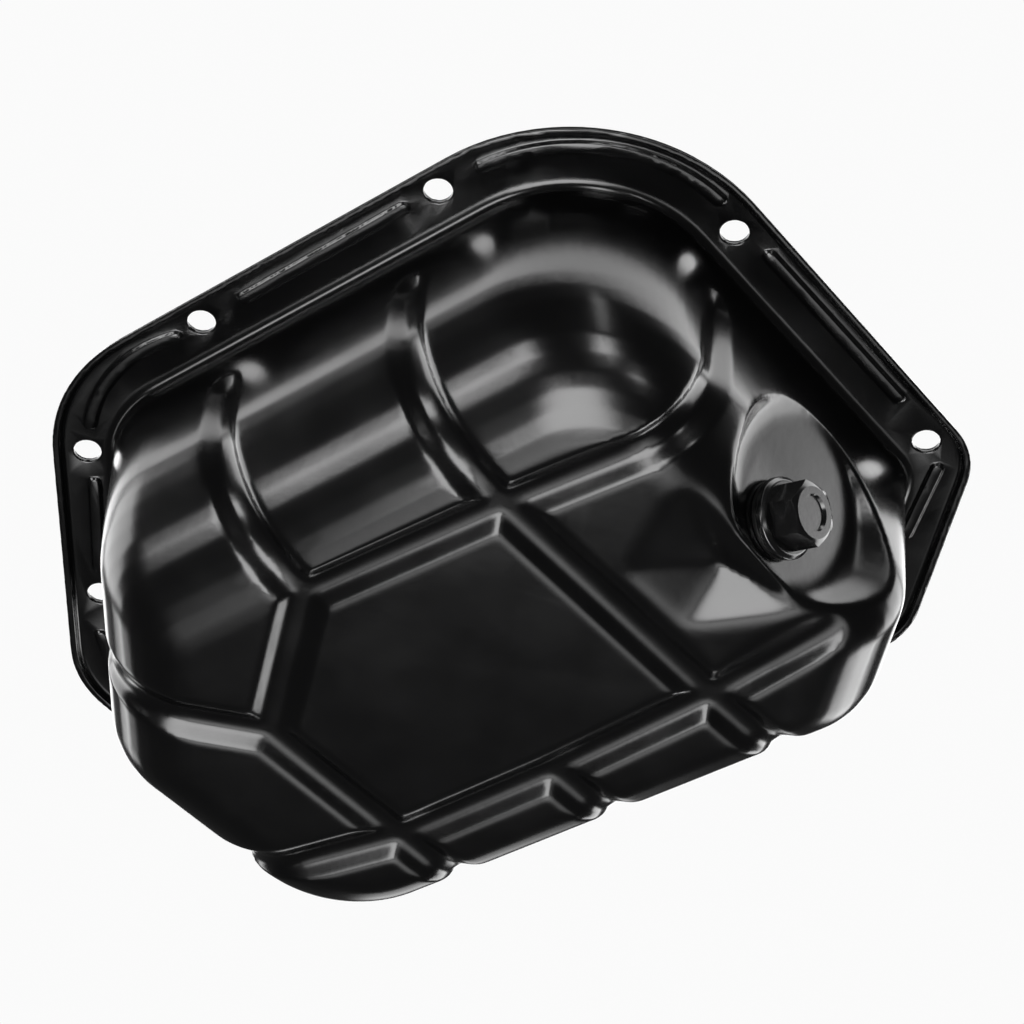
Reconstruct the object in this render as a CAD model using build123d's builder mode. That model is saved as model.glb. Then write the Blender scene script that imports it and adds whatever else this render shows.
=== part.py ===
"""Pressed steel engine oil pan with its drain nut, drain plug and sealing washer.

Millimetres. The gasket face of the flange lies in the XY plane and the sump hangs
below it, so +Z points up to the engine block. The origin is the midpoint between the
two locating bolt holes at the left and right ends of the flange.
"""

import os
from math import atan2, cos, degrees, radians, sin, sqrt, tan

from build123d import *

# Sheet and flange
sheet = 1.6
lip_height = 3.5
lip_slant = 20
flange_hole = 7.0
wall_bend_radius = 2.8
lip_bend_radius = 1.2

# Sump form
pan_depth = 62.6
neck = 6.0

# Stiffening grooves pressed into the floor and walls
groove_depth = 2.6
wall_groove_depth = 1.7
groove_floor = 4.4
groove_flank = 32
groove_reach = 9.0
groove_overlap = 1.5
runout_depth = 14.0
runout_radius = 12.0
runout_length = 6.0

# Where the grooves meet on the floor, in plan
FRONT_CROSSING = (5.0, -55.4)
RIGHT_CROSSING = (52.9, 5.2)
LEFT_FORK = (-43.6, -27.9)
LEFT_TURN = (-55.6, 18.1)
BACK_CROSSING = (-25.6, 54.1)
BACK_FORK = (13.9, 30.8)
RIGHT_END = (90.0, -23.6)
FLOOR_GROOVES = [
    (FRONT_CROSSING, RIGHT_CROSSING),
    (LEFT_FORK, FRONT_CROSSING),
    (LEFT_FORK, LEFT_TURN),
    (LEFT_TURN, BACK_CROSSING),
    (BACK_CROSSING, BACK_FORK),
    (BACK_FORK, RIGHT_CROSSING),
    (RIGHT_CROSSING, RIGHT_END),
]
# Grooves that leave the floor and climb a wall: start, heading in plan and the wall.
WALL_GROOVES = [
    (FRONT_CROSSING, -127.6, "front_left"),
    (LEFT_FORK, -127.6, "front_left"),
    (FRONT_CROSSING, -27.4, "front_right"),
    (RIGHT_CROSSING, 49.5, "back_right"),
    (BACK_FORK, 49.5, "back_right"),
    (BACK_CROSSING, 49.5, "back_right"),
    (BACK_CROSSING, 159.6, "back_left"),
    (LEFT_TURN, -166.7, "left"),
]

# Drain: the slanted facet pressed into one corner for the plug, and the scoops beside it.
# Their heights are measured up from the lowest point of the pan.
drain_height = 12.6
pocket_height = 20.2
valley_height = 6.1
drain_at = (68.5, -40.95, drain_height - pan_depth)
drain_outward = (0.77, -0.52, -0.37)
pocket_middle = (72.3, -40.65, pocket_height - pan_depth)
pocket_radius = 23.0
pocket_flare = 38
pocket_reach = 30.0
scoop_valley = (55.6, -33.5, valley_height - pan_depth)
scoop_rim = [(47.9, -67.0), (32.3, -36.2), (46.7, -18.1), (77.0, -23.2)]
scoop_slope_rise = 1.06
scoop_outside = 3.0
drain_hole = 12.6

# Drain plug, its sealing washer and the nut welded inside
thread_diameter = 12.0
thread_clearance = 0.1
nut_across = 17.0
nut_height = 8.0
washer_diameter = 19.0
washer_thickness = 1.5
collar_diameter = 20.0
collar_height = 2.5
hex_across = 14.0
hex_height = 7.5
dish_diameter = 9.5
dish_depth = 0.8
shank_beyond_nut = 2.5

# Beads raised on the lower face of the flange, with a channel on the gasket face
bead_width = 3.4
bead_height = 0.9
bead_channel = 2.2
bead_taper = 25
STRAIGHT_BEADS = [
    ((-60.5, -70.8), (-19.8, -97.4)),
    ((67.0, -82.9), (99.2, -39.6)),
    ((109.6, -17.0), (102.5, 4.6)),
    ((-103.7, -12.6), (-105.9, 15.9)),
    ((-108.0, 39.9), (-105.6, 54.8)),
    ((84.5, 41.8), (95.5, 30.8)),
    ((29.5, 71.8), (69.5, 50.5)),
    ((-33.5, 102.0), (13.5, 78.7)),
    ((-71.5, 93.2), (-52.5, 105.2)),
]
CURVED_BEADS = [
    ((-0.8, -109.1), (22.0, -114.7), (55.2, -99.2)),
    ((-78.1, -59.2), (-92.6, -50.2), (-102.7, -31.7)),
]

# Flange holes in plan, the two locating holes first
FLANGE_HOLES = [
    (106.5, -25.45),
    (-106.5, 25.45),
    (-71.5, -63.35),
    (-11.4, -102.0),
    (58.7, -89.55),
    (-104.4, -22.65),
    (-79.3, 87.25),
    (-42.9, 105.45),
    (21.8, 75.95),
    (77.4, 46.15),
]

# Each straight side of the pan, in order round the flange: the direction it faces, the
# distance of its lip edge from the origin, the width of flange left outside the sump wall,
# the lean of the wall and the radius that turns the wall into the floor.
SIDES = {
    "front_left": dict(faces=-122.6, reach=99.6, flange=17.5, lean=2.0, floor_radius=34.0),
    "front_right": dict(faces=-36.3, reach=109.8, flange=17.5, lean=2.0, floor_radius=22.0),
    "right": dict(faces=13.8, reach=110.6, flange=14.5, lean=2.0, floor_radius=20.0),
    "back_right": dict(faces=60.6, reach=85.1, flange=18.5, lean=8.5, floor_radius=12.0),
    "back_left": dict(faces=139.5, reach=125.2, flange=20.0, lean=8.5, floor_radius=18.0),
    "left": dict(faces=183.0, reach=114.0, flange=15.5, lean=2.0, floor_radius=23.0),
}
# Corner radii of the flange and of the sump wall, each between its side and the next one.
flange_corners = [54.5, 20.0, 22.0, 50.0, 30.0, 44.0]
wall_corners = [37.0, 14.0, 20.0, 38.0, 26.0, 28.0]
floor_corner_least = 7.0
floor_steps = 12


def facing(angle):
    """Unit vector in plan that points along an angle in degrees."""
    return Vector(cos(radians(angle)), sin(radians(angle)))


def wall_inset(side, depth, shrink=0.0):
    """How far the sump wall has come in from its line at the gasket plane at a depth."""
    radius = side["floor_radius"] - shrink
    floor = pan_depth - shrink
    start = floor - radius
    inset = shrink + min(depth, start) * tan(radians(side["lean"]))
    if depth > start:
        inset += radius - sqrt(max(radius**2 - (depth - start) ** 2, 0.0))
    return inset


def corner_points(distances):
    """Corners where neighbouring sides meet, from each side's distance to the origin."""
    sides = list(SIDES.values())
    points = []
    for k, side in enumerate(sides):
        after = (k + 1) % len(sides)
        a = facing(side["faces"])
        b = facing(sides[after]["faces"])
        across = a.X * b.Y - a.Y * b.X
        x = (distances[k] * b.Y - distances[after] * a.Y) / across
        y = (distances[after] * a.X - distances[k] * b.X) / across
        points.append((x, y))
    return points


def flange_outline(growth):
    """Wire of the flange edge, moved outward by growth from the lip edge."""
    distances = [side["reach"] + growth for side in SIDES.values()]
    radii = [radius + growth for radius in flange_corners]
    return FilletPolyline(*corner_points(distances), radius=radii, close=True)


def wall_outline(depth, shrink=0.0):
    """Wire of the sump wall at a depth, for the outer face or shrunk for the inner one."""
    insets = [wall_inset(side, depth, shrink) for side in SIDES.values()]
    distances = [
        side["reach"] - side["flange"] - inset for side, inset in zip(SIDES.values(), insets)
    ]
    radii = []
    for k, radius in enumerate(wall_corners):
        drawn_in = (insets[k] + insets[(k + 1) % len(insets)]) / 2
        radii.append(max(radius - drawn_in * 0.75, floor_corner_least))
    return FilletPolyline(*corner_points(distances), radius=radii, close=True)


def sump_levels(shrink):
    """Depths of the lofted sections: the neck, then even steps round the largest floor radius."""
    radius = max(side["floor_radius"] for side in SIDES.values()) - shrink
    floor = pan_depth - shrink
    angles = [radians(90 * step / floor_steps) for step in range(floor_steps + 1)]
    return [neck] + [floor - radius + radius * sin(angle) for angle in angles]


def sump_form(shrink):
    """The filled form of the sump: a neck under the flange, then a loft through its outlines."""
    with BuildPart() as form:
        for depth in sump_levels(shrink):
            with BuildSketch(Plane.XY.offset(-depth)):
                with BuildLine():
                    wall_outline(depth, shrink)
                make_face()
        loft(ruled=True)
        with BuildSketch(Plane.XY.offset(-neck)):
            with BuildLine():
                wall_outline(neck, shrink)
            make_face()
        extrude(amount=neck)
    return form.part


def groove_profile(grown):
    """Trapezoid of a stiffening groove, its floor lowered and its flanks moved by grown."""
    half = groove_floor / 2 + grown * tan(radians(groove_flank / 2))
    top = half + (groove_reach + grown) / tan(radians(groove_flank))
    points = [(-half, -grown), (half, -grown), (top, groove_reach), (-top, groove_reach)]
    return points


def groove_cutter(start, heading, run, radius=0.0, lean=0.0, grown=0.0):
    """Cuts one straight stretch of groove along the floor, and up the wall if it has a radius.

    The path starts at a plan point, runs along its heading for run, and climbs to the
    runout under the flange, where it turns outward and leaves the sheet.
    """
    across = facing(heading + 90)
    upright = Plane(origin=(start[0], start[1], 0), x_dir=facing(heading), z_dir=-across)
    level = groove_depth - pan_depth
    rise = -runout_depth - level
    with BuildPart() as cutter:
        with BuildLine(upright) as path:
            if radius:
                top = run + rise * tan(radians(lean))
                turns = [radius - (groove_depth + wall_groove_depth) / 2, runout_radius]
                points = [(-groove_overlap, level), (run, level), (top, -runout_depth)]
                points.append((top + runout_length, -runout_depth + runout_length))
                FilletPolyline(*points, radius=turns)
            else:
                Line((-groove_overlap, level), (run + groove_overlap, level))
        with BuildSketch(Plane(path.line @ 0, x_dir=-across, z_dir=path.line % 0)):
            with BuildLine():
                Polyline(*groove_profile(grown), close=True)
            make_face()
        sweep()
    return cutter.part


def wall_run(start, heading, side_name):
    """Distance from a plan point to where the groove floor meets the foot of a wall."""
    side = SIDES[side_name]
    outward = facing(side["faces"])
    direction = facing(heading)
    foot = pan_depth - groove_depth
    wall = side["reach"] - side["flange"] - foot * tan(radians(side["lean"])) - wall_groove_depth
    return (wall - outward.dot(Vector(*start))) / outward.dot(direction)


def all_grooves(grown):
    """Every stretch of the groove network on the floor and walls of the sump."""
    cutters = []
    for start, end in FLOOR_GROOVES:
        span = Vector(*end) - Vector(*start)
        heading = degrees(atan2(span.Y, span.X))
        cutters.append(groove_cutter(start, heading, span.length, grown=grown))
    for start, heading, side_name in WALL_GROOVES:
        side = SIDES[side_name]
        run = wall_run(start, heading, side_name)
        stretch = (1 + 1 / cos(radians(heading - side["faces"]))) / 2
        radius = side["floor_radius"] * stretch
        cutters.append(groove_cutter(start, heading, run, radius, side["lean"], grown))
    return cutters


def drain_plane(outward):
    """Plane of the drain facet, moved along the plug axis by outward."""
    normal = Vector(*drain_outward).normalized()
    level = Vector(0, 0, 1).cross(normal)
    return Plane(origin=Vector(*drain_at) + normal * outward, x_dir=level, z_dir=normal)


def drain_pocket(grown):
    """Cuts the round flaring pocket that the drain facet lies in."""
    base = drain_plane(-grown)
    middle = base.to_local_coords(Vector(*pocket_middle))
    flare = radians(pocket_flare)
    bottom = pocket_radius + grown * (1 / cos(flare) - tan(flare))
    top = bottom + pocket_reach * tan(flare)
    with BuildPart(base) as cutter:
        with Locations((middle.X, middle.Y, pocket_reach / 2)):
            Cone(bottom, top, pocket_reach)
    return cutter.part


def drain_scoop(grown):
    """Cuts the four-sided hollow that leads from the floor panels to the drain pocket."""
    rise = grown * scoop_slope_rise
    valley = Vector(*scoop_valley) + Vector(0, 0, rise)
    level = -pan_depth - scoop_outside
    corners = []
    for x, y in scoop_rim:
        reach = (level - valley.Z) / (rise - pan_depth - valley.Z)
        corners.append((valley.X + (x - valley.X) * reach, valley.Y + (y - valley.Y) * reach))
    with BuildPart() as cutter:
        with BuildSketch(Plane.XY.offset(level)):
            with BuildLine():
                Polyline(*corners, close=True)
            make_face()
        loft(sections=[cutter.pending_faces[0], Vertex(valley)])
    return cutter.part


def pressed_sump(shrink):
    """Form of the sump with its grooves and drain pocket, outside or shrunk to the inside."""
    cutters = all_grooves(shrink) + [drain_pocket(shrink), drain_scoop(shrink)]
    form = sump_form(shrink)
    for cutter in cutters:
        form = form - cutter
    return form


def flange_face(part, depth):
    """The flat face of the flange at a depth below the gasket plane."""
    level = part.faces().filter_by(Plane.XY).filter_by_position(Axis.Z, -depth - 0.01, -depth + 0.01)
    return level.sort_by(SortBy.AREA)[-1]


sump_outside = pressed_sump(0.0)
sump_inside = pressed_sump(sheet)
lip_wall = sheet / cos(radians(lip_slant))
bead_arcs = [ThreePointArc(*points) for points in CURVED_BEADS]

with BuildPart() as oil_pan:
    # Flange plate with its slanted stiffening lip, bent at a small radius
    with BuildSketch(Plane.XY.offset(-lip_height)):
        with BuildLine():
            flange_outline(0.0)
        make_face()
    extrude(amount=lip_height, taper=lip_slant)
    with BuildSketch(Plane.XY.offset(-lip_height)):
        with BuildLine():
            flange_outline(-lip_wall)
        make_face()
    extrude(amount=lip_height - sheet, taper=lip_slant, mode=Mode.SUBTRACT)
    fillet(flange_face(oil_pan.part, 0.0).outer_wire().edges(), lip_bend_radius + sheet)
    fillet(flange_face(oil_pan.part, sheet).outer_wire().edges(), lip_bend_radius)
    # Sump pressed down from the flange, with the bend between them
    add(sump_outside)
    add(sump_inside, mode=Mode.SUBTRACT)
    fillet(flange_face(oil_pan.part, sheet).inner_wires()[0].edges(), wall_bend_radius)
    fillet(flange_face(oil_pan.part, 0.0).inner_wires()[0].edges(), wall_bend_radius + sheet)
    # Beads of the flange
    for side, width, depth in ((-1, bead_width, sheet), (1, bead_channel, 0.0)):
        with BuildSketch(Plane.XY.offset(-depth)):
            for start, end in STRAIGHT_BEADS:
                span = Vector(*end) - Vector(*start)
                middle = (Vector(*end) + Vector(*start)) / 2
                with Locations((middle.X, middle.Y)):
                    SlotCenterToCenter(span.length, width, rotation=degrees(atan2(span.Y, span.X)))
            for arc in bead_arcs:
                SlotArc(arc, width)
        if side < 0:
            extrude(amount=-bead_height, taper=bead_taper)
        else:
            extrude(amount=-bead_height, taper=bead_taper, mode=Mode.SUBTRACT)
    # Bolt holes and the drain hole
    with Locations(*[(x, y, 0) for x, y in FLANGE_HOLES]):
        Cylinder(flange_hole / 2, 4 * sheet, mode=Mode.SUBTRACT)
    with BuildSketch(drain_plane(1.0)):
        Circle(drain_hole / 2)
    extrude(amount=-4 * sheet, mode=Mode.SUBTRACT)

with BuildPart() as drain_nut:
    with BuildSketch(drain_plane(-sheet)):
        RegularPolygon(nut_across / 2, 6, major_radius=False)
        Circle((thread_diameter + thread_clearance) / 2, mode=Mode.SUBTRACT)
    extrude(amount=-nut_height)

with BuildPart() as drain_plug_gasket:
    with BuildSketch(drain_plane(0.0)):
        Circle(washer_diameter / 2)
        Circle((thread_diameter + thread_clearance) / 2, mode=Mode.SUBTRACT)
    extrude(amount=washer_thickness)

with BuildPart() as drain_plug:
    # Shank through the washer, the sheet and the nut
    with BuildSketch(drain_plane(washer_thickness)):
        Circle(thread_diameter / 2)
    extrude(amount=-(washer_thickness + sheet + nut_height + shank_beyond_nut))
    # Collar and hexagon
    with BuildSketch(drain_plane(washer_thickness)):
        Circle(collar_diameter / 2)
    extrude(amount=collar_height)
    with BuildSketch(drain_plane(washer_thickness + collar_height)):
        RegularPolygon(hex_across / 2, 6, major_radius=False)
    extrude(amount=hex_height)
    with BuildSketch(drain_plane(washer_thickness + collar_height + hex_height)):
        Circle(dish_diameter / 2)
    extrude(amount=-dish_depth, taper=30, mode=Mode.SUBTRACT)

oil_pan.part.label = "oil_pan"
drain_nut.part.label = "drain_nut"
drain_plug_gasket.part.label = "drain_plug_gasket"
drain_plug.part.label = "drain_plug"

os.makedirs("parts", exist_ok=True)
export_step(oil_pan.part, "parts/oil_pan.step")
export_step(drain_nut.part, "parts/drain_nut.step")
export_step(drain_plug_gasket.part, "parts/drain_plug_gasket.step")
export_step(drain_plug.part, "parts/drain_plug.step")
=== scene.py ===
from math import cos, pi, radians

import bmesh
import bpy
from mathutils import Matrix, Vector


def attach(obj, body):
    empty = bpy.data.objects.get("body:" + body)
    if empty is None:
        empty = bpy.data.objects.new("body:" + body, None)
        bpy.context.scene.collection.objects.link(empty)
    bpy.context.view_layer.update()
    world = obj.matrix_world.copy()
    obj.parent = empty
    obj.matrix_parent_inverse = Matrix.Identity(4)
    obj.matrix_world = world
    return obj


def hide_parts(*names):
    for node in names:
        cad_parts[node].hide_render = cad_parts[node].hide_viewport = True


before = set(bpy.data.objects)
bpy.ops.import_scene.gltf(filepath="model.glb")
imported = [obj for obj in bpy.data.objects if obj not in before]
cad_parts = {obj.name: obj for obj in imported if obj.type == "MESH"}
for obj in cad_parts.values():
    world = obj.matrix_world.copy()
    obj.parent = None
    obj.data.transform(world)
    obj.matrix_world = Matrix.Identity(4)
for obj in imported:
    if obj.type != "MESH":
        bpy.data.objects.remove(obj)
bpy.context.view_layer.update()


# ---------------------------------------------------------------------------
# The pan: one sheet of deep-drawn steel with a stiffened flange, dipped in
# gloss black paint. Flange and sump are worked smooth one by one, as a press
# leaves them, and then joined into one closed sheet in the straight neck.
# ---------------------------------------------------------------------------
DRAIN_AT = Vector((0.0685, -0.04095, -0.05))
DRAIN_AXIS = Vector((0.77, -0.52, -0.37)).normalized()
DRAIN_HOLE = 0.0063
SHEET = 0.0016
# Flange and sump meet at this height; each is rebuilt a little past it, and a narrow
# gap between them is bridged
NECK_CUT = -0.0050
FLANGE_SPARE = 0.0025
NECK_GAP = 0.00015
LID_HEIGHT = 0.006
MERGE_DISTANCE = 0.000004
# Cell of the rebuilt skins, and the number of triangles they are thinned to
SUMP_CELL, SUMP_TRIANGLES = 0.0007, 68000
FLANGE_CELL, FLANGE_TRIANGLES = 0.00036, 56000
# The drain pocket is eased inside this reach of its middle, all but the seat of the plug
POCKET_MIDDLE = Vector((0.0640, -0.0380, -0.0520))
POCKET_REACH, POCKET_FADE = 0.026, 0.010
SEAT_REACH, SEAT_FADE = 0.0130, 0.004


def only(piece):
    """Makes one piece the only selected and the active one, in object mode."""
    if bpy.context.object and bpy.context.object.mode != "OBJECT":
        bpy.ops.object.mode_set(mode="OBJECT")
    bpy.ops.object.select_all(action="DESELECT")
    piece.select_set(True)
    bpy.context.view_layer.objects.active = piece


def apply_modifiers(piece):
    only(piece)
    for modifier in list(piece.modifiers):
        bpy.ops.object.modifier_apply(modifier=modifier.name)


def merged_copy(node, name):
    """A copy of a drawn part's mesh with its loose triangles joined."""
    piece = bpy.data.objects.new(name, node.data.copy())
    bpy.context.scene.collection.objects.link(piece)
    piece.data.materials.clear()
    only(piece)
    bpy.ops.mesh.customdata_custom_splitnormals_clear()
    bpy.ops.object.mode_set(mode="EDIT")
    bpy.ops.mesh.select_all(action="SELECT")
    bpy.ops.mesh.remove_doubles(threshold=MERGE_DISTANCE)
    bpy.ops.mesh.normals_make_consistent(inside=False)
    bpy.ops.object.mode_set(mode="OBJECT")
    return piece


def cut_level(piece, height, keep_below):
    """Cuts a piece along a level plane and keeps one side."""
    only(piece)
    bpy.ops.object.mode_set(mode="EDIT")
    bpy.ops.mesh.select_all(action="SELECT")
    bpy.ops.mesh.bisect(plane_co=(0, 0, height), plane_no=(0, 0, 1),
                        clear_outer=keep_below, clear_inner=not keep_below)
    bpy.ops.object.mode_set(mode="OBJECT")


def pick(piece, faces=None, edges=None):
    """Selects the faces or the edges of a piece that pass a test, in edit mode."""
    only(piece)
    bpy.ops.object.mode_set(mode="EDIT")
    bpy.ops.mesh.select_mode(type="FACE" if faces else "EDGE")
    bpy.ops.mesh.select_all(action="DESELECT")
    mesh = bmesh.from_edit_mesh(piece.data)
    for part in mesh.faces if faces else mesh.edges:
        if (faces or edges)(part):
            part.select = True
    mesh.select_flush_mode()
    bmesh.update_edit_mesh(piece.data)


def open_rings(mesh, test):
    """The closed runs of open edges that pass a test, the longest first."""
    left = {e for e in mesh.edges if e.is_boundary and test(e)}
    rings = []
    while left:
        run = [left.pop()]
        for edge in run:
            for vert in edge.verts:
                for near in vert.link_edges:
                    if near in left:
                        left.discard(near)
                        run.append(near)
        rings.append(run)
    rings.sort(key=lambda run: -sum(e.calc_length() for e in run))
    return rings


def off_axis(point):
    """Distance of a point from the axis of the drain plug."""
    away = point - DRAIN_AT
    return (away - DRAIN_AXIS * away.dot(DRAIN_AXIS)).length


pan = merged_copy(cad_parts["oil_pan"], "oil_pan_pressing")
sump = merged_copy(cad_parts["oil_pan"], "sump")
cut_level(pan, NECK_CUT - FLANGE_SPARE, keep_below=False)
cut_level(sump, NECK_CUT, keep_below=True)

# The outer skin of the sump alone, with the drain hole closed and a lid above the neck
pick(sump, faces=lambda f: off_axis(f.calc_center_median()) < DRAIN_HOLE + 0.0001
     and abs(f.normal.dot(DRAIN_AXIS)) < 0.5)
bpy.ops.mesh.delete(type="FACE")
bpy.ops.mesh.select_all(action="SELECT")
bpy.ops.mesh.separate(type="LOOSE")
bpy.ops.object.mode_set(mode="OBJECT")
skins = [o for o in bpy.context.selected_objects if o.type == "MESH"]
skins.sort(key=lambda o: min(v.co.z for v in o.data.vertices))
sump = skins[0]
for skin in skins[1:]:
    bpy.data.objects.remove(skin)
pick(sump, edges=lambda e: e.is_boundary and off_axis(e.verts[0].co) < 0.007)
bpy.ops.mesh.edge_face_add()
pick(sump, edges=lambda e: e.is_boundary)
bpy.ops.mesh.extrude_edges_move(TRANSFORM_OT_translate={"value": (0, 0, LID_HEIGHT)})
bpy.ops.mesh.edge_face_add()
bpy.ops.mesh.select_all(action="SELECT")
bpy.ops.mesh.quads_convert_to_tris()
bpy.ops.mesh.normals_make_consistent(inside=False)
bpy.ops.object.mode_set(mode="OBJECT")

# Rebuilt in fine cells and relaxed, with broader rounds where the drain pocket meets the scoops
sump.data.remesh_voxel_size = SUMP_CELL
sump.data.use_remesh_fix_poles = False
bpy.ops.object.voxel_remesh()
corner = sump.vertex_groups.new(name="drain corner")
for vert in sump.data.vertices:
    near = 1 - max(0, (vert.co - POCKET_MIDDLE).length - POCKET_REACH) / POCKET_FADE
    off_seat = (off_axis(vert.co) - SEAT_REACH) / SEAT_FADE
    weight = min(1, near, off_seat)
    if weight > 0:
        corner.add([vert.index], weight, "REPLACE")
relax = sump.modifiers.new("relax", "SMOOTH")
relax.factor = 0.5
relax.iterations = 16
ease = sump.modifiers.new("ease", "SMOOTH")
ease.factor = 0.5
ease.iterations = 90
ease.vertex_group = "drain corner"
apply_modifiers(sump)
sump.vertex_groups.clear()
bpy.ops.object.shade_smooth()

# The sheet is laid inwards from it, once dense for the normals and once thinned for the piece
dense = sump.copy()
dense.data = sump.data.copy()
bpy.context.scene.collection.objects.link(dense)
thin = sump.modifiers.new("thin", "DECIMATE")
thin.ratio = SUMP_TRIANGLES / (2 * len(sump.data.polygons))
apply_modifiers(sump)
for skin in (sump, dense):
    cut_level(skin, NECK_CUT, keep_below=True)
    bpy.ops.object.shade_smooth()
    sheet = skin.modifiers.new("sheet", "SOLIDIFY")
    sheet.thickness = SHEET
    sheet.offset = -1
    sheet.use_rim = False
    apply_modifiers(skin)
sump.vertex_groups.new(name="sump").add(range(len(sump.data.vertices)), 1.0, "REPLACE")

# The flange is closed off in the straight neck and rebuilt too, so that lip, beads and
# bolt holes carry the soft edges of pressed and painted sheet
pick(pan, edges=lambda e: e.is_boundary)
bpy.ops.mesh.bridge_edge_loops()
bpy.ops.mesh.select_all(action="SELECT")
bpy.ops.mesh.quads_convert_to_tris()
bpy.ops.mesh.normals_make_consistent(inside=False)
bpy.ops.object.mode_set(mode="OBJECT")
pan.data.remesh_voxel_size = FLANGE_CELL
pan.data.use_remesh_fix_poles = False
bpy.ops.object.voxel_remesh()
relax = pan.modifiers.new("relax", "SMOOTH")
relax.factor = 0.5
relax.iterations = 5
apply_modifiers(pan)
bpy.ops.object.shade_smooth()
dense_flange = pan.copy()
dense_flange.data = pan.data.copy()
bpy.context.scene.collection.objects.link(dense_flange)
thin = pan.modifiers.new("thin", "DECIMATE")
thin.ratio = FLANGE_TRIANGLES / (2 * len(pan.data.polygons))
apply_modifiers(pan)
cut_level(pan, NECK_CUT + NECK_GAP, keep_below=False)
pan.vertex_groups.new(name="flange").add(range(len(pan.data.vertices)), 1.0, "REPLACE")

# Flange and sump are joined into one closed sheet, outside to outside and inside to inside
only(pan)
sump.select_set(True)
bpy.ops.object.join()
for pair in range(2):
    pick(pan, edges=lambda e: False)
    mesh = bmesh.from_edit_mesh(pan.data)
    rings = open_rings(mesh, lambda e: e.verts[0].co.z > NECK_CUT - 0.001)
    for edge in rings[0] + rings[1]:
        edge.select = True
    bmesh.update_edit_mesh(pan.data)
    bpy.ops.mesh.bridge_edge_loops()
bpy.ops.object.mode_set(mode="OBJECT")

# The drain hole is drilled through the facet
bpy.ops.object.select_all(action="DESELECT")
bpy.ops.mesh.primitive_cylinder_add(vertices=72, radius=DRAIN_HOLE, depth=0.012,
                                    location=DRAIN_AT)
drill_tool = bpy.context.object
drill_tool.rotation_mode = "QUATERNION"
drill_tool.rotation_quaternion = DRAIN_AXIS.to_track_quat("Z", "Y")
only(drill_tool)
bpy.ops.object.transform_apply(location=True, rotation=True, scale=True)
drilled = pan.modifiers.new("drain hole", "BOOLEAN")
drilled.operation = "DIFFERENCE"
drilled.solver = "EXACT"
drilled.object = drill_tool
apply_modifiers(pan)
bpy.data.objects.remove(drill_tool)

# The dense sheets give the thinned one their normals; sharp bends such as the drilled rim
# are marked first
only(pan)
bpy.ops.object.shade_smooth_by_angle(angle=radians(60))
for source, group in ((dense, "sump"), (dense_flange, "flange")):
    carry = pan.modifiers.new("carry normals", "DATA_TRANSFER")
    carry.object = source
    carry.use_loop_data = True
    carry.data_types_loops = {"CUSTOM_NORMAL"}
    carry.loop_mapping = "POLYINTERP_NEAREST"
    carry.vertex_group = group
apply_modifiers(pan)
for source in (dense, dense_flange):
    bpy.data.objects.remove(source)

# Gloss black dip coating: a deep black with a faint orange peel and a little dust in the film
coating = bpy.data.materials.new("black_coating")
coating.use_nodes = True
nodes, links = coating.node_tree.nodes, coating.node_tree.links
paint = nodes["Principled BSDF"]
paint.inputs["Base Color"].default_value = (0.0010, 0.0010, 0.0011, 1)
paint.inputs["IOR"].default_value = 1.52
place = nodes.new("ShaderNodeTexCoord")
mottle = nodes.new("ShaderNodeTexNoise")
mottle.inputs["Scale"].default_value = 60
mottle.inputs["Detail"].default_value = 3
links.new(place.outputs["Object"], mottle.inputs["Vector"])
sheen = nodes.new("ShaderNodeMapRange")
sheen.inputs["From Min"].default_value = 0.3
sheen.inputs["From Max"].default_value = 0.7
sheen.inputs["To Min"].default_value = 0.17
sheen.inputs["To Max"].default_value = 0.22
links.new(mottle.outputs["Fac"], sheen.inputs["Value"])
links.new(sheen.outputs["Result"], paint.inputs["Roughness"])
peel = nodes.new("ShaderNodeTexNoise")
peel.inputs["Scale"].default_value = 420
peel.inputs["Detail"].default_value = 2
links.new(place.outputs["Object"], peel.inputs["Vector"])
ripple = nodes.new("ShaderNodeBump")
ripple.inputs["Strength"].default_value = 0.10
ripple.inputs["Distance"].default_value = 0.0001
links.new(peel.outputs["Fac"], ripple.inputs["Height"])
links.new(ripple.outputs["Normal"], paint.inputs["Normal"])
pan.data.materials.append(coating)
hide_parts("oil_pan")
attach(pan, "pan")


# ---------------------------------------------------------------------------
# The weld nut on the inner face of the drain facet: a plain hexagon nut,
# chamfered on its free end, in the same black coating.
# ---------------------------------------------------------------------------
level = Vector((0, 0, 1)).cross(DRAIN_AXIS).normalized()
DRAIN_FRAME = Matrix((level, DRAIN_AXIS.cross(level), DRAIN_AXIS)).transposed().to_4x4()
DRAIN_FRAME.translation = DRAIN_AT


def turned(radius, low, high, chamfer=0, slope=0):
    """A round blank from low to high. Its upper end may have a chamfer of a height, which
    runs inwards by slope times that height."""
    bpy.ops.object.select_all(action="DESELECT")
    bpy.ops.mesh.primitive_cylinder_add(vertices=96, radius=radius, depth=high - low - chamfer,
                                        location=(0, 0, (low + high - chamfer) / 2))
    blank = bpy.context.object
    bpy.ops.object.transform_apply(location=True, rotation=True, scale=True)
    if chamfer:
        pick(blank, faces=lambda f: f.normal.z > 0.9)
        bpy.ops.mesh.extrude_region_move(TRANSFORM_OT_translate={"value": (0, 0, chamfer)})
        share = 1 - chamfer * slope / radius
        bpy.ops.transform.resize(value=(share, share, 1))
        bpy.ops.object.mode_set(mode="OBJECT")
    return blank


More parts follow.
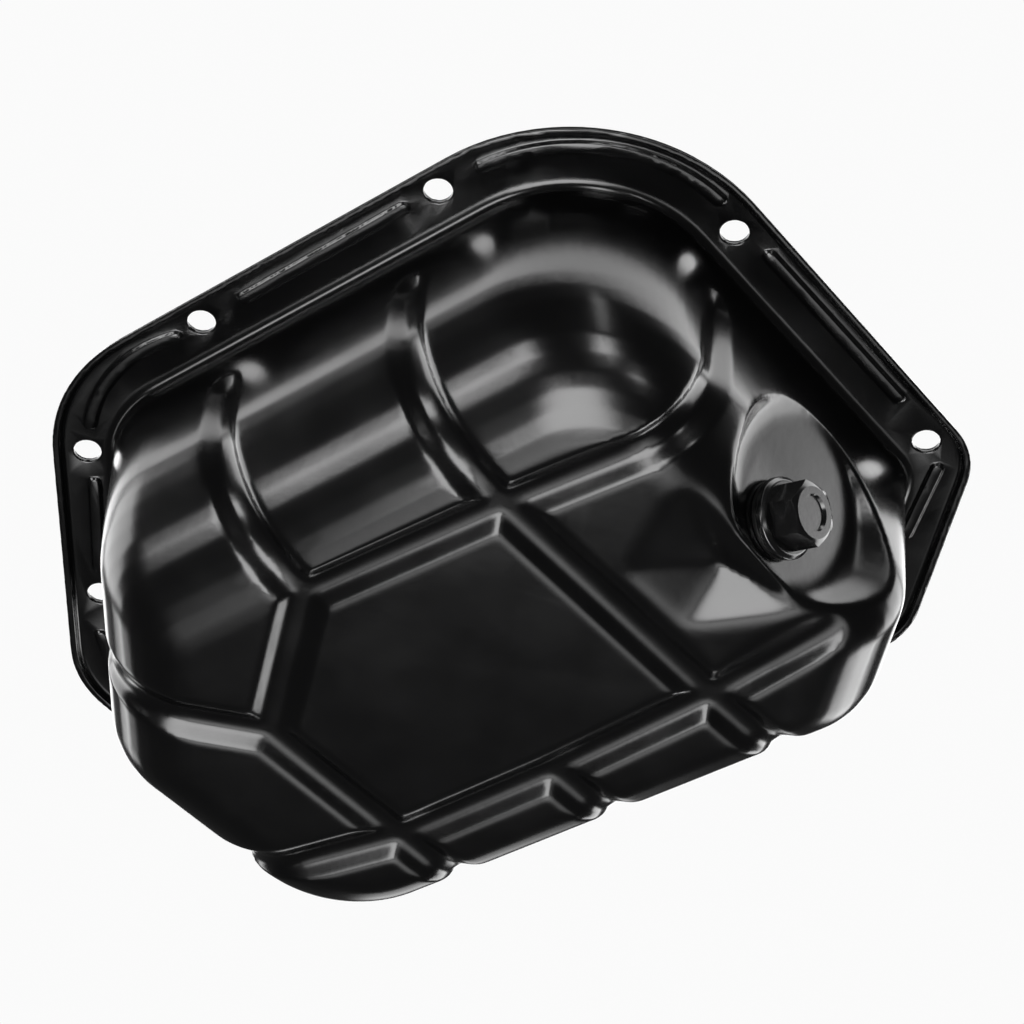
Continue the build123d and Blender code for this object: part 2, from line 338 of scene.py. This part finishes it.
def hexagon(across, low, high, turn):
    """Hexagon bar from low to high, by its width across flats."""
    bpy.ops.object.select_all(action="DESELECT")
    bpy.ops.mesh.primitive_cylinder_add(vertices=6, radius=across / 2 / cos(pi / 6),
                                        depth=high - low, location=(0, 0, (low + high) / 2),
                                        rotation=(0, 0, pi / 6 + turn))
    bar = bpy.context.object
    bpy.ops.object.transform_apply(location=True, rotation=True, scale=True)
    return bar


def combine(piece, other, operation):
    """Adds, cuts away or keeps what a second blank shares with a piece, and uses it up."""
    shaped = piece.modifiers.new("shape", "BOOLEAN")
    shaped.operation = operation
    shaped.solver = "EXACT"
    shaped.object = other
    apply_modifiers(piece)
    bpy.data.objects.remove(other)


def soften(piece, width, segments, angle):
    """Small rounds on the edges that bend by more than an angle."""
    rounded = piece.modifiers.new("rounded", "BEVEL")
    rounded.width = width
    rounded.segments = segments
    rounded.limit_method = "ANGLE"
    rounded.angle_limit = radians(angle)
    rounded.harden_normals = False
    apply_modifiers(piece)
    bpy.ops.object.shade_smooth_by_angle(angle=radians(32))


NUT_ACROSS = 0.017
NUT_TOP = 0.0096
BORE = 0.00605

# Made upright on the sheet and turned over at the end, because it sits inside the pan
nut = hexagon(NUT_ACROSS, low=SHEET, high=NUT_TOP, turn=0)
combine(nut, turned(0.0099, low=0.0010, high=NUT_TOP, chamfer=0.0010, slope=1.7), "INTERSECT")
combine(nut, turned(BORE, low=0.0010, high=0.0110), "DIFFERENCE")
countersink = turned(0.0069, low=0.0080, high=0.0097)
pick(countersink, faces=lambda f: f.normal.z < -0.9)
bpy.ops.transform.resize(value=(0.80, 0.80, 1))
combine(nut, countersink, "DIFFERENCE")
soften(nut, width=0.00018, segments=2, angle=28)
only(nut)
bpy.ops.transform.mirror(constraint_axis=(False, False, True), center_override=(0, 0, 0))
bpy.ops.object.transform_apply(location=True, rotation=True, scale=True)
bpy.ops.object.mode_set(mode="EDIT")
bpy.ops.mesh.select_all(action="SELECT")
bpy.ops.mesh.normals_make_consistent(inside=False)
bpy.ops.object.mode_set(mode="OBJECT")
nut.name = "weld_nut"
nut.matrix_world = DRAIN_FRAME
bpy.ops.object.transform_apply(location=True, rotation=True, scale=True)
nut.data.materials.append(coating)
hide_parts("drain_nut")
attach(nut, "pan")


# ---------------------------------------------------------------------------
# The sealing washer under the plug's collar: a thick flat ring with rounded
# edges, black like the plug.
# ---------------------------------------------------------------------------
WASHER_RADIUS = 0.0095
WASHER_TOP = 0.0015

seal = turned(WASHER_RADIUS, low=0.0, high=WASHER_TOP)
combine(seal, turned(BORE, low=-0.001, high=0.003), "DIFFERENCE")
soften(seal, width=0.00035, segments=3, angle=40)
seal.name = "sealing_washer"
seal.matrix_world = DRAIN_FRAME
bpy.ops.object.transform_apply(location=True, rotation=True, scale=True)
washer_coat = bpy.data.materials.new("washer_coat")
washer_coat.use_nodes = True
ring = washer_coat.node_tree.nodes["Principled BSDF"]
ring.inputs["Base Color"].default_value = (0.004, 0.004, 0.004, 1)
ring.inputs["Roughness"].default_value = 0.30
seal.data.materials.append(washer_coat)
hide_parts("drain_plug_gasket")
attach(seal, "washer_carrier")


# ---------------------------------------------------------------------------
# The drain plug: a turned steel plug with a chamfered, dished hexagon head on a
# round collar, and a rolled thread that runs through the nut.
# ---------------------------------------------------------------------------
HEAD_ACROSS = 0.014
HEAD_TOP = 0.0115
HEAD_TURN = radians(15)
DISH_RADIUS = 0.00475
DISH_FLOOR = 0.0107
COLLAR_RADIUS = 0.0100
COLLAR_TOP = 0.0040
SHANK_LENGTH = 0.0121
THREAD_START = -0.0145
THREAD_PITCH = 0.00125
THREAD_ROOT = 0.00522
THREAD_DEPTH = 0.00076
ROOT_FLAT, FLANK, CREST_FLAT = 0.00016, 0.00039, 0.00031

head = hexagon(HEAD_ACROSS, low=0.0030, high=HEAD_TOP, turn=HEAD_TURN)
combine(head, turned(0.0086, low=0.0020, high=HEAD_TOP, chamfer=0.0011, slope=2.1), "INTERSECT")
dish = turned(DISH_RADIUS, low=DISH_FLOOR, high=0.0120)
pick(dish, faces=lambda f: f.normal.z < -0.9)
bpy.ops.transform.resize(value=(0.86, 0.86, 1))
combine(head, dish, "DIFFERENCE")
soften(head, width=0.00028, segments=3, angle=20)
collar = turned(COLLAR_RADIUS, low=WASHER_TOP, high=COLLAR_TOP, chamfer=0.0008, slope=1.3)
soften(collar, width=0.00025, segments=3, angle=24)

# The thread is one ridge wound round the shank, then cut to length and pointed
bpy.ops.object.select_all(action="DESELECT")
bpy.ops.mesh.primitive_plane_add(size=0.001, location=(0, 0, 0))
thread = bpy.context.object
bpy.ops.object.mode_set(mode="EDIT")
bpy.ops.mesh.select_all(action="SELECT")
bpy.ops.mesh.merge(type="CENTER")
bpy.ops.transform.translate(value=(THREAD_ROOT, 0, THREAD_START))
for out, along in ((0, ROOT_FLAT), (THREAD_DEPTH, FLANK), (0, CREST_FLAT), (-THREAD_DEPTH, FLANK)):
    bpy.ops.mesh.extrude_region_move(TRANSFORM_OT_translate={"value": (out, 0, along)})
bpy.ops.object.mode_set(mode="OBJECT")
wound = thread.modifiers.new("wound", "SCREW")
wound.axis = "Z"
wound.screw_offset = THREAD_PITCH
wound.iterations = 14
wound.steps = 36
wound.render_steps = 36
wound.use_merge_vertices = True
wound.merge_threshold = 0.000002
apply_modifiers(thread)
bpy.ops.object.mode_set(mode="EDIT")
for height, keep_below in ((-SHANK_LENGTH, False), (0.0020, True)):
    bpy.ops.mesh.select_all(action="SELECT")
    bpy.ops.mesh.remove_doubles(threshold=0.000003)
    bpy.ops.mesh.bisect(plane_co=(0, 0, height), plane_no=(0, 0, 1), use_fill=True,
                        clear_outer=keep_below, clear_inner=not keep_below)
bpy.ops.mesh.select_all(action="SELECT")
bpy.ops.mesh.normals_make_consistent(inside=False)
bpy.ops.object.mode_set(mode="OBJECT")
point = turned(0.0070, low=-0.0030, high=SHANK_LENGTH, chamfer=0.0020, slope=1.0)
only(point)
bpy.ops.transform.rotate(value=pi, orient_axis="X", center_override=(0, 0, 0))
bpy.ops.object.transform_apply(location=True, rotation=True, scale=True)
combine(thread, point, "INTERSECT")
only(thread)
bpy.ops.object.shade_smooth_by_angle(angle=radians(32))

combine(collar, head, "UNION")
combine(collar, thread, "UNION")
plug = collar
plug.name = "drain_plug_turned"
only(plug)
bpy.ops.object.shade_smooth_by_angle(angle=radians(40))
plug.modifiers.new("level faces", "WEIGHTED_NORMAL").keep_sharp = True
apply_modifiers(plug)
plug.matrix_world = DRAIN_FRAME
bpy.ops.object.transform_apply(location=True, rotation=True, scale=True)
plug_coat = bpy.data.materials.new("plug_coat")
plug_coat.use_nodes = True
nodes, links = plug_coat.node_tree.nodes, plug_coat.node_tree.links
steel = nodes["Principled BSDF"]
steel.inputs["Base Color"].default_value = (0.0022, 0.0022, 0.0023, 1)
steel.inputs["IOR"].default_value = 1.6
place = nodes.new("ShaderNodeTexCoord")
forge = nodes.new("ShaderNodeTexNoise")
forge.inputs["Scale"].default_value = 900
forge.inputs["Detail"].default_value = 3
links.new(place.outputs["Object"], forge.inputs["Vector"])
dull = nodes.new("ShaderNodeMapRange")
dull.inputs["To Min"].default_value = 0.12
dull.inputs["To Max"].default_value = 0.26
links.new(forge.outputs["Fac"], dull.inputs["Value"])
links.new(dull.outputs["Result"], steel.inputs["Roughness"])
grain = nodes.new("ShaderNodeBump")
grain.inputs["Strength"].default_value = 0.15
grain.inputs["Distance"].default_value = 0.00006
links.new(forge.outputs["Fac"], grain.inputs["Height"])
links.new(grain.outputs["Normal"], steel.inputs["Normal"])
plug.data.materials.append(plug_coat)
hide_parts("drain_plug")
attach(plug, "plug")


# ---------------------------------------------------------------------------
# The studio: a pale floor that is seen from above and lets light and sight
# pass from below, soft panels round the part, and a white surround.
# ---------------------------------------------------------------------------
bpy.ops.object.select_all(action="DESELECT")
FLOOR_LEVEL = -0.0632
bpy.ops.mesh.primitive_plane_add(size=6.0, location=(0, 0, FLOOR_LEVEL))
floor = bpy.context.object
floor.name = "studio_floor"
bpy.ops.object.transform_apply(location=True, rotation=True, scale=True)
pale = bpy.data.materials.new("pale_floor")
pale.use_nodes = True
nodes, links = pale.node_tree.nodes, pale.node_tree.links
nodes["Principled BSDF"].inputs["Base Color"].default_value = (0.80, 0.80, 0.80, 1)
nodes["Principled BSDF"].inputs["Roughness"].default_value = 0.7
ray = nodes.new("ShaderNodeLightPath")
side = nodes.new("ShaderNodeNewGeometry")
front = nodes.new("ShaderNodeMath")
front.operation = "SUBTRACT"
front.use_clamp = True
links.new(ray.outputs["Is Camera Ray"], front.inputs[0])
links.new(side.outputs["Backfacing"], front.inputs[1])
clear = nodes.new("ShaderNodeBsdfTransparent")
either = nodes.new("ShaderNodeMixShader")
links.new(front.outputs["Value"], either.inputs["Fac"])
links.new(clear.outputs["BSDF"], either.inputs[1])
links.new(nodes["Principled BSDF"].outputs["BSDF"], either.inputs[2])
links.new(either.outputs["Shader"], nodes["Material Output"].inputs["Surface"])
floor.data.materials.append(pale)

# Each soft panel: where it stands, its width and height, its strength and how wide its edge fades
SOFT_PANELS = [
    ("panel_below", (-0.20, -0.24, -1.6), (1.15, 1.45), 8.5, 0.32),
    ("panel_below_back", (0.05, 0.51, -1.62), (2.0, 1.66), 3.4, 0.84),
    ("panel_front_left", (-1.18, -1.01, -0.90), (1.06, 0.66), 8.5, 0.20),
    ("panel_front", (0.42, -1.54, -0.84), (0.60, 0.75), 8.5, 0.24),
    ("panel_front_right", (0.86, -0.96, -1.10), (0.42, 0.42), 7.0, 0.20),
    ("panel_front_strip", (0.46, -1.72, 0.25), (0.40, 1.35), 2.6, 0.20),
    ("panel_left", (-1.84, 0.10, 0.46), (1.95, 1.70), 4.8, 0.28),
    ("panel_left_back", (-1.37, 1.15, 0.25), (0.60, 0.60), 4.0, 0.24),
    ("panel_right", (1.64, 0.66, 0.46), (1.65, 1.50), 4.6, 0.28),
    ("panel_right_back", (1.05, 1.56, -0.26), (0.90, 1.30), 6.0, 0.28),
    ("panel_back", (0.0, 1.80, 0.0), (0.60, 1.10), 2.2, 0.20),
]
for name, at, size, strength, edge in SOFT_PANELS:
    bpy.ops.object.select_all(action="DESELECT")
    bpy.ops.mesh.primitive_plane_add(size=1, location=(0, 0, 0))
    panel = bpy.context.object
    panel.name = name
    panel.scale = (size[0], size[1], 1)
    bpy.ops.object.transform_apply(location=True, rotation=True, scale=True)
    panel.rotation_mode = "QUATERNION"
    if "below" not in name:
        panel.rotation_quaternion = (-Vector(at)).to_track_quat("Z", "Y")
    panel.location = at
    glow = bpy.data.materials.new(name)
    glow.use_nodes = True
    nodes, links = glow.node_tree.nodes, glow.node_tree.links
    nodes.remove(nodes["Principled BSDF"])
    spot = nodes.new("ShaderNodeTexCoord")
    apart = nodes.new("ShaderNodeSeparateXYZ")
    links.new(spot.outputs["Object"], apart.inputs["Vector"])
    fades = []
    for axis, reach in (("X", size[0] / 2), ("Y", size[1] / 2)):
        width = nodes.new("ShaderNodeMath")
        width.operation = "ABSOLUTE"
        links.new(apart.outputs[axis], width.inputs[0])
        fade = nodes.new("ShaderNodeMapRange")
        fade.interpolation_type = "SMOOTHSTEP"
        fade.inputs["From Min"].default_value = reach
        fade.inputs["From Max"].default_value = reach - edge
        links.new(width.outputs["Value"], fade.inputs["Value"])
        fades.append(fade)
    both = nodes.new("ShaderNodeMath")
    both.operation = "MULTIPLY"
    links.new(fades[0].outputs["Result"], both.inputs[0])
    links.new(fades[1].outputs["Result"], both.inputs[1])
    power = nodes.new("ShaderNodeMath")
    power.operation = "MULTIPLY"
    power.inputs[1].default_value = strength
    links.new(both.outputs["Value"], power.inputs[0])
    light = nodes.new("ShaderNodeEmission")
    links.new(power.outputs["Value"], light.inputs["Strength"])
    links.new(light.outputs["Emission"], nodes["Material Output"].inputs["Surface"])
    panel.data.materials.append(glow)
    panel.visible_camera = False
    panel.visible_shadow = False

# The white wall of the studio runs all round above the part, in a band that only reflections see
bpy.ops.object.select_all(action="DESELECT")
bpy.ops.mesh.primitive_cone_add(vertices=64, radius1=2.6, radius2=1.9, depth=1.6,
                                end_fill_type="NOTHING", location=(0, 0, 2.2))
wall = bpy.context.object
wall.name = "studio_wall"
bpy.ops.object.transform_apply(location=True, rotation=True, scale=True)
bpy.ops.object.shade_smooth()
white = bpy.data.materials.new("white_wall")
white.use_nodes = True
nodes, links = white.node_tree.nodes, white.node_tree.links
nodes.remove(nodes["Principled BSDF"])
spot = nodes.new("ShaderNodeTexCoord")
apart = nodes.new("ShaderNodeSeparateXYZ")
links.new(spot.outputs["Object"], apart.inputs["Vector"])
lift = nodes.new("ShaderNodeMapRange")
lift.interpolation_type = "SMOOTHSTEP"
lift.inputs["From Min"].default_value = 1.4
lift.inputs["From Max"].default_value = 2.1
lift.inputs["To Max"].default_value = 3.5
links.new(apart.outputs["Z"], lift.inputs["Value"])
light = nodes.new("ShaderNodeEmission")
links.new(lift.outputs["Result"], light.inputs["Strength"])
links.new(light.outputs["Emission"], nodes["Material Output"].inputs["Surface"])
wall.data.materials.append(white)
wall.visible_camera = False
wall.visible_shadow = False

studio = bpy.data.worlds.new("studio")
bpy.context.scene.world = studio
studio.use_nodes = True
nodes, links = studio.node_tree.nodes, studio.node_tree.links
nodes["Background"].inputs["Color"].default_value = (1, 1, 1, 1)
ray = nodes.new("ShaderNodeLightPath")
backdrop = nodes.new("ShaderNodeMapRange")
backdrop.inputs["To Min"].default_value = 0.05
backdrop.inputs["To Max"].default_value = 0.96
links.new(ray.outputs["Is Camera Ray"], backdrop.inputs["Value"])
links.new(backdrop.outputs["Result"], nodes["Background"].inputs["Strength"])
bpy.context.scene.view_settings.view_transform = "Standard"


# ---------------------------------------------------------------------------
# The camera: from below and in front, looking up at the sump.
# ---------------------------------------------------------------------------
CAMERA_AT = (0.0542, -0.5777, -0.6813)
CAMERA_TOWARD = Vector((0.0581, -0.6449, -0.7621))
CAMERA_UP = Vector((0, -0.7634, 0.646))
bpy.ops.object.camera_add(location=CAMERA_AT)
camera = bpy.context.object
camera.data.lens = 123.05
camera.data.sensor_width = 36
camera.data.clip_start = 0.01
camera.data.clip_end = 50
toward = CAMERA_TOWARD.normalized()
right = CAMERA_UP.cross(toward).normalized()
camera.rotation_mode = "QUATERNION"
camera.rotation_quaternion = Matrix((right, toward.cross(right), toward)).transposed().to_quaternion()
bpy.context.scene.camera = camera
